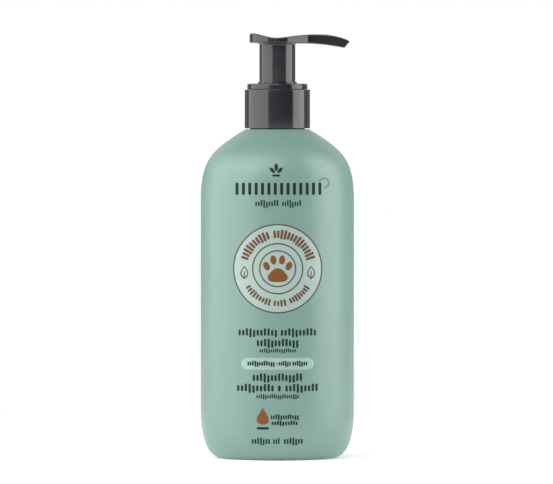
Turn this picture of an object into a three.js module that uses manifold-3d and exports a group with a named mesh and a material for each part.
// Round shampoo bottle with a screw-on lotion pump.
// Millimetres, +Z up. The origin is the centre of the base, at the plane that the bottle stands on.
// The spout points along +X. Everything in the pump is measured from the top of the bottle's neck.

import * as THREE from 'three';
import { mergeVertices } from 'three/addons/utils/BufferGeometryUtils.js';
import Module from 'manifold-3d';

const wasm = await Module();
wasm.setup();

// ---------------------------------------------------------------- driving dimensions

const ROUND = 40;            // sides of the large turned pieces
const SMALL_ROUND = 32;      // sides of the small turned pieces
const WELD = 1e-4;           // vertices closer than this are one vertex
const FIT = 0.05;            // gap between two pieces that are pressed or clamped together

const BODY_RADIUS = 35.5;    // half the bottle's diameter
const WALL = 0.9;            // blow-moulded wall
const HEEL_HEIGHT = 23.2;    // where the heel's curve becomes the straight side
const STAND_INNER = 21.5;    // flat ring that the bottle stands on
const STAND_OUTER = 24.9;
const BASE_RECESS = 3.2;     // how far the middle of the base is pushed up
const BASE_THICK = 1.1;
const DOME_STEPS = [0, 0.55, 0.8, 0.93, 1];  // shares of the base's inner radius
const SHOULDER_START = 119.1;
const LANDING_Z = 152.3;     // flat top of the shoulder, round the neck
const LANDING_EDGE = 0.3;    // depth of the landing's slanted edge
const NECK_TOP = 166.4;
const NECK_RADIUS = 12.6;    // wall of the neck, without its thread
const NECK_BORE = 10.85;

const PITCH = 25.4 / 6;      // the neck thread has six turns to the inch
const NECK_CREST = 13.75;
const THREAD_START_Z = -8.45;    // middle of the neck's ridge at angle 0, from the neck's top
const FLANK = 0.5;           // half-width gained for each millimetre of depth
const CREST_HALF = 0.5;      // half the width of the ridge's crest
const RIDGE_ROOT = 0.35;     // how deep a ridge is sunk in its wall
const RIDGE_STEPS = 24;      // straight steps in one turn of a ridge
const NECK_RIDGE = [0, 540];         // first and last angle, degrees
const COLLAR_RIDGE = [-120, 330];
const FLANK_OFFSET = -1.495; // the collar's ridge sits this far below the neck's ridge

const COLLAR_RADIUS = 15.15;
const COLLAR_BORE = 14.05;
const COLLAR_CREST = 12.9;
const COLLAR_BOTTOM = -13.7;
const COLLAR_TOP = 4.3;
const COLLAR_WALL = 1.4;     // flat top of the collar
const COLLAR_HOLE = 10.6;

const FLANGE_RADIUS = 12.7;
const FLANGE_BOTTOM = 1.1;
const FLANGE_TOP = 2.75;
const CUP_OUTER = 10.45;     // wide cup that takes the head's skirt when it is pressed
const CUP_INNER = 9.45;
const CUP_TOP = 4.2;
const CUP_FLOOR = -13.45;
const CHAMBER_BORE = 6.7;
const CHAMBER_OUTER = 7.7;
const CHAMBER_BOTTOM = -53.1;
const THROAT_RADIUS = 1.6;   // hole under the inlet ball
const SEAT_BOTTOM = -56.1;
const POCKET_RADIUS = 2.9;   // pocket above the ball's conical seat
const TUBE_SOCKET_TOP = -57.1;
const TUBE_SOCKET_END = -68.9;
const VENT_Z = -17.2;        // small hole that lets air into the bottle
const VENT_RADIUS = 0.6;

const CAP_RADIUS = 13.95;    // retainer cap
const CAP_BOTTOM = 4.4;
const CAP_TOP = 7.0;
const CAP_EDGE = 0.9;        // rounding of the cap's upper corner
const CAP_RIM_RADIUS = 9.05;
const CAP_RIM_TOP = 7.8;
const CAP_BORE = 8.62;
const SLEEVE_OUTER = 9.35;
const SLEEVE_BOTTOM = -13.2;
const GUIDE_TOP = 0.4;
const GUIDE_BORE = 3.8;
const GUIDE_OUTER = 4.8;
const PLATE = 1.2;           // floor of the sleeve and skin of the cap

const SKIRT_RADIUS = 8.33;
const SKIRT_INNER = 7.2;
const SKIRT_BOTTOM = 2.4;
const SKIRT_ROOF = 23.6;
const SOCKET_OUTER = 4.9;    // tube inside the head that grips the stem
const SOCKET_BOTTOM = 14.9;
const SOCKET_ROOF = 22.4;
const BAR_BOTTOM = 25.65;    // underside of the spout, where it leaves the skirt
const REAR_BOTTOM = 25.9;    // underside of the pad's rear
const UNDERSIDE_END = 12;    // x where the straight underside starts to arch
const PAD_RADIUS = 11.9;
const PAD_CENTRE = -1.0;
const PAD_TANGENT = THREE.MathUtils.degToRad(55);  // where the round pad runs into the spout's flank
const FLANK_END = [14, 4.03];    // [x, y] where the straight flank starts to curve along the spout
const SPOUT_START = [20, 3.0];   // [x, y] where the sides become nearly parallel
const TIP_HALF = 2.9;        // half the spout's width at its tip
const LIP = [-11.1, 30.6];   // [x, height] of the pad's raised rear
const SADDLE = [-0.3, 28.3]; // lowest place of the pad, for the thumb
const CREST = [19.2, 29.9];  // top of the spout's arch
const TIP_TOP = [33.6, 26.9];
const TIP_BOTTOM = [31.2, 23.6];
const CHANNEL = 0.9;         // radius of the passage to the spout's tip

const STEM_RADIUS = 3.6;
const STEM_BORE = 2.2;
const STEM_BOTTOM = -13.7;
const STEM_TOP = 22.2;
const SHAFT_RADIUS = 3.0;
const SHAFT_TOP = -13.9;
const PLUG_TOP = -6.4;
const PLUG_BORE = 1.5;
const VALVE_TOP = -22.5;     // small end of the outlet valve's cone
const VALVE_RADIUS = 5.2;
const SPRING_TOP = -25.55;
const SPIGOT_RADIUS = 3.4;
const PORT_WIDTH = 1.6;

const PISTON_BOTTOM = -22.4;
const PISTON_TOP = -15.0;
const PISTON_LIP = 6.6;

const CAGE_BOTTOM = -53.0;
const CAGE_LEDGE = -51.8;
const CAGE_ROOF = -50.2;
const CAGE_DOME = 3.7;
const WINDOW_WIDTH = 2.2;

const WIRE = 0.45;           // radius of the spring's wire
const COIL_RADIUS = 4.3;
const END_PITCH = 1.05;
const ACTIVE_TURNS = 6;

const BALL_RADIUS = 2.38;
const BALL_Z = -54.25;

const DIP_RADIUS = 3.0;
const DIP_BORE = 2.2;
const DIP_END_Z = 7.0;       // above the standing plane
const DIP_SLANT = 0.35;      // rise of the slanted end for each millimetre across

// ---------------------------------------------------------------- general shapes

const point = (x, y) => new THREE.Vector2(x, y);

/** A profile of [radius, height] pairs turned about Z. */
function turned(profile, sides) {
  const outline = profile.map((p) => (p.isVector2 ? p : point(p[0], p[1])));
  return new THREE.LatheGeometry(outline, sides).rotateX(Math.PI / 2);
}

/** The same for a ring, whose profile closes on itself. */
function turnedRing(profile, sides) {
  return turned([...profile, profile[0]], sides);
}

/** A three.js geometry as a manifold solid. */
function solidOf(geometry) {
  const bare = geometry.clone();
  bare.deleteAttribute('normal');
  bare.deleteAttribute('uv');
  const welded = mergeVertices(bare, WELD);
  const corners = welded.index.array;
  const kept = [];
  for (let i = 0; i < corners.length; i += 3) {
    const [a, b, c] = corners.slice(i, i + 3);
    if (a !== b && b !== c && c !== a) kept.push(a, b, c);
  }
  const vertProperties = new Float32Array(welded.attributes.position.array);
  const triVerts = new Uint32Array(kept);
  return new wasm.Manifold(new wasm.Mesh({ numProp: 3, vertProperties, triVerts }));
}

/** A manifold solid as a three.js geometry with flat normals. */
function geometryOf(solid) {
  const mesh = solid.getMesh();
  const shared = new THREE.BufferGeometry();
  shared.setAttribute('position', new THREE.BufferAttribute(mesh.vertProperties, 3));
  shared.setIndex(new THREE.BufferAttribute(mesh.triVerts, 1));
  const geometry = shared.toNonIndexed();
  geometry.computeVertexNormals();
  return geometry;
}

/** A helix about Z. Its frames keep the section's x axis pointing away from Z. */
class Helix extends THREE.Curve {
  constructor(radius, startAngle, endAngle, heightAt) {
    super();
    this.radius = radius;
    this.startAngle = startAngle;
    this.endAngle = endAngle;
    this.heightAt = heightAt;
  }

  angleAt(t) {
    return THREE.MathUtils.lerp(this.startAngle, this.endAngle, t);
  }

  getPoint(t, target = new THREE.Vector3()) {
    const angle = this.angleAt(t);
    return target.set(this.radius * Math.cos(angle), this.radius * Math.sin(angle), this.heightAt(angle));
  }

  getSpacedPoints(steps) {
    return this.getPoints(steps);
  }

  computeFrenetFrames(steps) {
    const tangents = [];
    const normals = [];
    const binormals = [];
    for (let i = 0; i <= steps; i += 1) {
      const angle = this.angleAt(i / steps);
      const tangent = new THREE.Vector3(-Math.sin(angle), Math.cos(angle), 0);
      const normal = new THREE.Vector3(Math.cos(angle), Math.sin(angle), 0);
      tangents.push(tangent);
      normals.push(normal);
      binormals.push(tangent.clone().cross(normal));
    }
    return { tangents, normals, binormals };
  }
}

/** One thread ridge with slanting flanks, from its root radius to its crest radius. */
function threadRidge(rootRadius, crestRadius, angles, middleZ, crestHalf) {
  const direction = Math.sign(crestRadius - rootRadius);
  const depth = Math.abs(crestRadius - rootRadius);
  const rootHalf = crestHalf + FLANK * depth;
  const section = new THREE.Shape([
    point(-direction * RIDGE_ROOT, -rootHalf),
    point(0, -rootHalf),
    point(direction * depth, -crestHalf),
    point(direction * depth, crestHalf),
    point(0, rootHalf),
    point(-direction * RIDGE_ROOT, rootHalf),
  ]);
  const [start, end] = angles.map(THREE.MathUtils.degToRad);
  const lead = PITCH / (2 * Math.PI);
  const path = new Helix(rootRadius, start, end, (angle) => middleZ + lead * angle);
  const steps = Math.round((RIDGE_STEPS * (end - start)) / (2 * Math.PI));
  return new THREE.ExtrudeGeometry(section, { steps, extrudePath: path });
}

/** A short round bar along X or Z, for cutting holes. */
function roundBar(radius, length, sides) {
  return new THREE.CylinderGeometry(radius, radius, length, sides);
}

// ---------------------------------------------------------------- bottle

const heelCurve = new THREE.CubicBezierCurve(
  point(STAND_OUTER, 0),
  point(STAND_OUTER + 5.2, 0),
  point(BODY_RADIUS, 3.2),
  point(BODY_RADIUS, HEEL_HEIGHT),
);

const shoulderCurve = new THREE.CubicBezierCurve(
  point(BODY_RADIUS, SHOULDER_START),
  point(BODY_RADIUS, SHOULDER_START + 18.6),
  point(2 * COLLAR_RADIUS + 0.8, LANDING_Z - 10.1),
  point(COLLAR_RADIUS, LANDING_Z - LANDING_EDGE),
);

/** Points on a curve, moved by the wall's thickness to its left side, which is the inside. */
function insidePoints(curve, count) {
  const points = [];
  for (let i = 0; i <= count; i += 1) {
    const along = curve.getTangent(i / count);
    points.push(curve.getPoint(i / count).add(point(-along.y, along.x).multiplyScalar(WALL)));
  }
  return points;
}

/** The pushed-up middle of the base, from the axis to a rim: flat in the middle and steep at the rim. */
function domePoints(rimRadius, baseZ) {
  return DOME_STEPS.map((share) => [share * rimRadius, baseZ + BASE_RECESS * Math.cbrt(1 - share ** 3)]);
}

function bottle() {
  const outside = [
    ...domePoints(STAND_INNER, 0),
    ...heelCurve.getPoints(7),
    ...shoulderCurve.getPoints(11),
    [COLLAR_RADIUS - LANDING_EDGE, LANDING_Z],
    [NECK_RADIUS, LANDING_Z],
    [NECK_RADIUS, NECK_TOP],
    [NECK_BORE, NECK_TOP],
    [NECK_BORE, LANDING_Z],
    [NECK_RADIUS, LANDING_Z - 1.2],
  ];
  const inside = [
    ...insidePoints(shoulderCurve, 8).reverse(),
    ...insidePoints(heelCurve, 5).reverse(),
    ...domePoints(STAND_INNER - 0.2, BASE_THICK).reverse(),
  ];
  const shell = solidOf(turned([...outside, ...inside], ROUND));
  const middleZ = NECK_TOP + THREAD_START_Z;
  const ridge = solidOf(threadRidge(NECK_RADIUS, NECK_CREST, NECK_RIDGE, middleZ, CREST_HALF));
  return geometryOf(shell.add(ridge));
}

// ---------------------------------------------------------------- fixed pieces of the pump

function screwCollar() {
  const edge = 0.5;
  const shell = solidOf(turnedRing([
    [COLLAR_BORE, COLLAR_BOTTOM],
    [COLLAR_RADIUS - edge / 2, COLLAR_BOTTOM],
    [COLLAR_RADIUS, COLLAR_BOTTOM + edge / 2],
    [COLLAR_RADIUS, COLLAR_TOP - edge],
    [COLLAR_RADIUS - edge, COLLAR_TOP],
    [COLLAR_HOLE, COLLAR_TOP],
    [COLLAR_HOLE, COLLAR_TOP - COLLAR_WALL],
    [COLLAR_BORE, COLLAR_TOP - COLLAR_WALL],
  ], ROUND));
  const middleZ = THREAD_START_Z + FLANK_OFFSET;
  const ridge = threadRidge(COLLAR_BORE, COLLAR_CREST, COLLAR_RIDGE, middleZ, CREST_HALF - FIT);
  return geometryOf(shell.add(solidOf(ridge)));
}

function neckGasket() {
  const bottom = FIT;
  const top = FLANGE_BOTTOM - FIT;
  return turnedRing([
    [NECK_BORE + 0.1, bottom],
    [NECK_RADIUS, bottom],
    [NECK_RADIUS, top],
    [NECK_BORE + 0.1, top],
  ], SMALL_ROUND);
}

function pumpHousing() {
  const shell = solidOf(turnedRing([
    [DIP_RADIUS + FIT, TUBE_SOCKET_END],
    [DIP_RADIUS + 1.2, TUBE_SOCKET_END],
    [DIP_RADIUS + 1.2, SEAT_BOTTOM - 0.8],
    [CHAMBER_OUTER, CHAMBER_BOTTOM - 0.2],
    [CHAMBER_OUTER, CUP_FLOOR - 1.9],
    [CUP_OUTER - 0.6, CUP_FLOOR - 1.1],
    [CUP_OUTER, CUP_FLOOR - 0.5],
    [CUP_OUTER, FLANGE_BOTTOM],
    [FLANGE_RADIUS, FLANGE_BOTTOM],
    [FLANGE_RADIUS, FLANGE_TOP],
    [CUP_OUTER, FLANGE_TOP],
    [CUP_OUTER, CUP_TOP],
    [CUP_INNER, CUP_TOP],
    [CUP_INNER, CUP_FLOOR],
    [CHAMBER_BORE, CUP_FLOOR],
    [CHAMBER_BORE, CHAMBER_BOTTOM],
    [POCKET_RADIUS, CHAMBER_BOTTOM],
    [POCKET_RADIUS, SEAT_BOTTOM + POCKET_RADIUS - THROAT_RADIUS],
    [THROAT_RADIUS, SEAT_BOTTOM],
    [THROAT_RADIUS, TUBE_SOCKET_TOP],
    [DIP_RADIUS + FIT, TUBE_SOCKET_TOP],
  ], SMALL_ROUND));
  const vent = roundBar(VENT_RADIUS, 4, 8).translate(0, CHAMBER_OUTER, VENT_Z);
  return geometryOf(shell.subtract(solidOf(vent)));
}

function retainerCap() {
  return turnedRing([
    [GUIDE_BORE, SLEEVE_BOTTOM],
    [SLEEVE_OUTER, SLEEVE_BOTTOM],
    [SLEEVE_OUTER, CAP_TOP - PLATE],
    [CAP_RADIUS - PLATE, CAP_TOP - PLATE],
    [CAP_RADIUS - PLATE, CAP_BOTTOM],
    [CAP_RADIUS, CAP_BOTTOM],
    [CAP_RADIUS, CAP_TOP - CAP_EDGE],
    [CAP_RADIUS - 0.3 * CAP_EDGE, CAP_TOP - 0.3 * CAP_EDGE],
    [CAP_RADIUS - CAP_EDGE, CAP_TOP],
    [CAP_RIM_RADIUS, CAP_TOP],
    [CAP_RIM_RADIUS, CAP_RIM_TOP],
    [CAP_BORE, CAP_RIM_TOP],
    [CAP_BORE, SLEEVE_BOTTOM + PLATE],
    [GUIDE_OUTER, SLEEVE_BOTTOM + PLATE],
    [GUIDE_OUTER, GUIDE_TOP],
    [GUIDE_BORE, GUIDE_TOP],
  ], ROUND);
}

function ballCage() {
  const roof = CAGE_ROOF + 0.7;
  const ring = solidOf(turnedRing([
    [POCKET_RADIUS, CAGE_BOTTOM],
    [PISTON_LIP, CAGE_BOTTOM],
    [PISTON_LIP, CAGE_LEDGE],
    [CAGE_DOME, CAGE_LEDGE],
    [CAGE_DOME, roof],
    [0.5 * POCKET_RADIUS, roof],
    [0.5 * POCKET_RADIUS, CAGE_ROOF],
    [POCKET_RADIUS, CAGE_ROOF],
  ], SMALL_ROUND));
  const height = CAGE_ROOF - CAGE_LEDGE - 2 * FIT;
  const middle = (CAGE_ROOF + CAGE_LEDGE) / 2;
  const span = 2 * CAGE_DOME + 1;
  const alongX = new THREE.BoxGeometry(span, WINDOW_WIDTH, height).translate(0, 0, middle);
  const alongY = new THREE.BoxGeometry(WINDOW_WIDTH, span, height).translate(0, 0, middle);
  return geometryOf(ring.subtract(solidOf(alongX)).subtract(solidOf(alongY)));
}

function inletBall() {
  return new THREE.SphereGeometry(BALL_RADIUS, 14, 10).rotateX(Math.PI / 2);
}

function dipTube(length) {
  const geometry = turnedRing([
    [DIP_BORE, 0],
    [DIP_RADIUS, 0],
    [DIP_RADIUS, length],
    [DIP_BORE, length],
  ], 24);
  const places = geometry.attributes.position;
  for (let i = 0; i < places.count; i += 1) {
    if (places.getZ(i) < WELD) places.setZ(i, DIP_SLANT * (places.getX(i) + DIP_RADIUS));
  }
  return geometry;
}

// ---------------------------------------------------------------- pieces that move with the head

/** Side view of the thumb pad and spout: x along the spout, y up. */
function barSide() {
  const rear = PAD_CENTRE - PAD_RADIUS;
  const [lowX, lowZ] = TIP_BOTTOM;
  const [tipX, tipZ] = TIP_TOP;
  const [crestX, crestZ] = CREST;
  const [saddleX, saddleZ] = SADDLE;
  const [lipX, lipZ] = LIP;
  const side = new THREE.Shape();
  side.moveTo(rear, REAR_BOTTOM);
  side.lineTo(UNDERSIDE_END, BAR_BOTTOM);
  side.bezierCurveTo(UNDERSIDE_END + 8, BAR_BOTTOM, lowX - 4.7, lowZ + 0.8, lowX, lowZ);
  side.lineTo(tipX, tipZ);
  side.bezierCurveTo(tipX - 4, tipZ + 1.7, crestX + 5.8, crestZ, crestX, crestZ);
  side.bezierCurveTo(crestX - 10.7, crestZ, saddleX + 4.3, saddleZ, saddleX, saddleZ);
  side.bezierCurveTo(saddleX - 3.9, saddleZ, lipX + 2.5, lipZ - 0.3, lipX, lipZ);
  side.quadraticCurveTo(rear + 0.2, lipZ, rear, lipZ - 0.7);
  return side;
}

/** Plan view of the same: a round pad with straight flanks that narrow into the spout. */
function barPlan() {
  const reach = TIP_TOP[0] + 1;
  const [flankX, flankY] = FLANK_END;
  const [spoutX, spoutY] = SPOUT_START;
  const bendX = flankX + 1.4;
  const plan = new THREE.Shape();
  plan.moveTo(reach, TIP_HALF);
  plan.lineTo(spoutX, spoutY);
  plan.quadraticCurveTo(bendX, spoutY + 0.05, flankX, flankY);
  plan.absarc(PAD_CENTRE, 0, PAD_RADIUS, PAD_TANGENT, -PAD_TANGENT, false);
  plan.lineTo(flankX, -flankY);
  plan.quadraticCurveTo(bendX, -spoutY - 0.05, spoutX, -spoutY);
  plan.lineTo(reach, -TIP_HALF);
  return plan;
}

function spoutChannel() {
  const path = new THREE.CatmullRomCurve3([
    new THREE.Vector3(0, 0, SOCKET_ROOF - 1),
    new THREE.Vector3(0.3, 0, 25),
    new THREE.Vector3(3, 0, 26.2),
    new THREE.Vector3(11, 0, 27.2),
    new THREE.Vector3(19.2, 0, 27.6),
    new THREE.Vector3(26, 0, 26.6),
    new THREE.Vector3(35, 0, 24.2),
  ]);
  const section = new THREE.Shape();
  section.absarc(0, 0, CHANNEL, 0, 2 * Math.PI);
  return new THREE.ExtrudeGeometry(section, { steps: 18, curveSegments: 8, extrudePath: path });
}

function pumpHead() {
  const depth = 2 * PAD_RADIUS + 2;
  const height = 8;
  const sides = new THREE.ExtrudeGeometry(barSide(), { depth, bevelEnabled: false, curveSegments: 7 });
  sides.rotateX(Math.PI / 2).translate(0, depth / 2, 0);
  const plan = new THREE.ExtrudeGeometry(barPlan(), { depth: height, bevelEnabled: false, curveSegments: 14 });
  plan.translate(0, 0, BAR_BOTTOM - 3);
  const skirt = turnedRing([
    [SKIRT_INNER, SKIRT_BOTTOM],
    [SKIRT_RADIUS, SKIRT_BOTTOM],
    [SKIRT_RADIUS, BAR_BOTTOM + 0.5],
    [STEM_RADIUS + FIT, BAR_BOTTOM + 0.5],
    [STEM_RADIUS + FIT, SOCKET_BOTTOM],
    [SOCKET_OUTER, SOCKET_BOTTOM],
    [SOCKET_OUTER, SKIRT_ROOF],
    [SKIRT_INNER, SKIRT_ROOF],
  ], ROUND);
  const core = roundBar(STEM_RADIUS + 0.5, BAR_BOTTOM - SOCKET_ROOF + 0.4, 16).rotateX(Math.PI / 2);
  core.translate(0, 0, (BAR_BOTTOM + SOCKET_ROOF + 0.4) / 2);
  const bar = solidOf(sides).intersect(solidOf(plan));
  const body = bar.add(solidOf(skirt)).add(solidOf(core));
  return geometryOf(body.subtract(solidOf(spoutChannel())));
}

function upperStem() {
  return turnedRing([
    [STEM_BORE, STEM_BOTTOM],
    [STEM_RADIUS, STEM_BOTTOM],
    [STEM_RADIUS, STEM_TOP],
    [STEM_BORE, STEM_TOP],
  ], SMALL_ROUND);
}

function lowerStem() {
  const boreBottom = VALVE_TOP + 0.4;
  const shape = solidOf(turned([
    [0, SPRING_TOP - 4],
    [SPIGOT_RADIUS - 0.6, SPRING_TOP - 4],
    [SPIGOT_RADIUS, SPRING_TOP - 3],
    [SPIGOT_RADIUS, SPRING_TOP + FIT],
    [VALVE_RADIUS, SPRING_TOP + FIT],
    [VALVE_RADIUS, VALVE_TOP - 1.5],
    [SHAFT_RADIUS, VALVE_TOP],
    [SHAFT_RADIUS, SHAFT_TOP],
    [STEM_BORE - FIT, SHAFT_TOP],
    [STEM_BORE - FIT, PLUG_TOP],
    [PLUG_BORE, PLUG_TOP],
    [PLUG_BORE, boreBottom],
    [0, boreBottom],
  ], SMALL_ROUND));
  const port = new THREE.BoxGeometry(2 * SHAFT_RADIUS + 1, PORT_WIDTH, 2.6);
  port.translate(0, 0, boreBottom + 1.6);
  return geometryOf(shape.subtract(solidOf(port)));
}

function pistonSeal() {
  const inner = SHAFT_RADIUS + 0.1;
  const waist = PISTON_LIP - 1.1;
  return turnedRing([
    [inner, PISTON_BOTTOM],
    [waist - 0.9, PISTON_BOTTOM],
    [PISTON_LIP - 0.4, PISTON_BOTTOM],
    [PISTON_LIP, PISTON_BOTTOM + 0.5],
    [waist, PISTON_BOTTOM + 2.2],
    [waist, PISTON_TOP - 2.2],
    [PISTON_LIP, PISTON_TOP - 0.5],
    [PISTON_LIP - 0.4, PISTON_TOP],
    [waist - 0.6, PISTON_TOP - 1.6],
    [inner, PISTON_TOP - 1.6],
  ], SMALL_ROUND);
}

/** Height of the spring's wire after a number of turns: close end turns and open ones between. */
function springHeight(turns, bottom, top) {
  const openPitch = (top - bottom - 2 * END_PITCH) / ACTIVE_TURNS;
  if (turns < 1) return bottom + END_PITCH * turns;
  if (turns > 1 + ACTIVE_TURNS) return top - END_PITCH * (2 + ACTIVE_TURNS - turns);
  return bottom + END_PITCH + openPitch * (turns - 1);
}

function returnSpring() {
  const bottom = CAGE_LEDGE + FIT + WIRE;
  const top = SPRING_TOP - WIRE;
  const turns = ACTIVE_TURNS + 2;
  const heightAt = (angle) => springHeight(angle / (2 * Math.PI), bottom, top);
  const path = new Helix(COIL_RADIUS, 0, 2 * Math.PI * turns, heightAt);
  const section = new THREE.Shape();
  section.absarc(0, 0, WIRE, 0, 2 * Math.PI);
  return new THREE.ExtrudeGeometry(section, { steps: 12 * turns, curveSegments: 6, extrudePath: path });
}

// ---------------------------------------------------------------- assembly

const finish = (color, roughness, metalness = 0) => new THREE.MeshStandardMaterial({ color, roughness, metalness });

function piece(name, geometry, material) {
  const mesh = new THREE.Mesh(geometry, material);
  mesh.name = name;
  return mesh;
}

const movingPieces = new THREE.Group();
movingPieces.add(piece('pump_head', pumpHead(), finish(0x1b1c1f, 0.4)));
movingPieces.add(piece('upper_stem', upperStem(), finish(0xe6e8e6, 0.45)));
movingPieces.add(piece('lower_stem', lowerStem(), finish(0xe2e4e2, 0.45)));
movingPieces.add(piece('piston_seal', pistonSeal(), finish(0xdfe5e8, 0.5)));
movingPieces.add(piece('return_spring', returnSpring(), finish(0xb8bcc0, 0.25, 1)));

const pump = new THREE.Group();
pump.position.z = NECK_TOP;
pump.add(movingPieces);
pump.add(piece('screw_collar', screwCollar(), finish(0x1a1b1e, 0.4)));
pump.add(piece('retainer_cap', retainerCap(), finish(0x1c1d20, 0.4)));
pump.add(piece('neck_gasket', neckGasket(), finish(0xf0efe9, 0.8)));
pump.add(piece('pump_housing', pumpHousing(), finish(0xe4e8e8, 0.4)));
pump.add(piece('ball_cage', ballCage(), finish(0xe8ebea, 0.4)));

const ball = piece('inlet_ball', inletBall(), finish(0xc9ccd0, 0.12, 1));
ball.position.z = BALL_Z;
pump.add(ball);

const dipTop = TUBE_SOCKET_TOP - 2 * FIT;
const dipBottom = DIP_END_Z - NECK_TOP;
const tube = piece('dip_tube', dipTube(dipTop - dipBottom), finish(0xe9eeee, 0.3));
tube.position.z = dipBottom;
pump.add(tube);

const assembly = new THREE.Group();
assembly.add(piece('bottle', bottle(), finish(0xa2c2b7, 0.45)));
assembly.add(pump);

export default assembly;
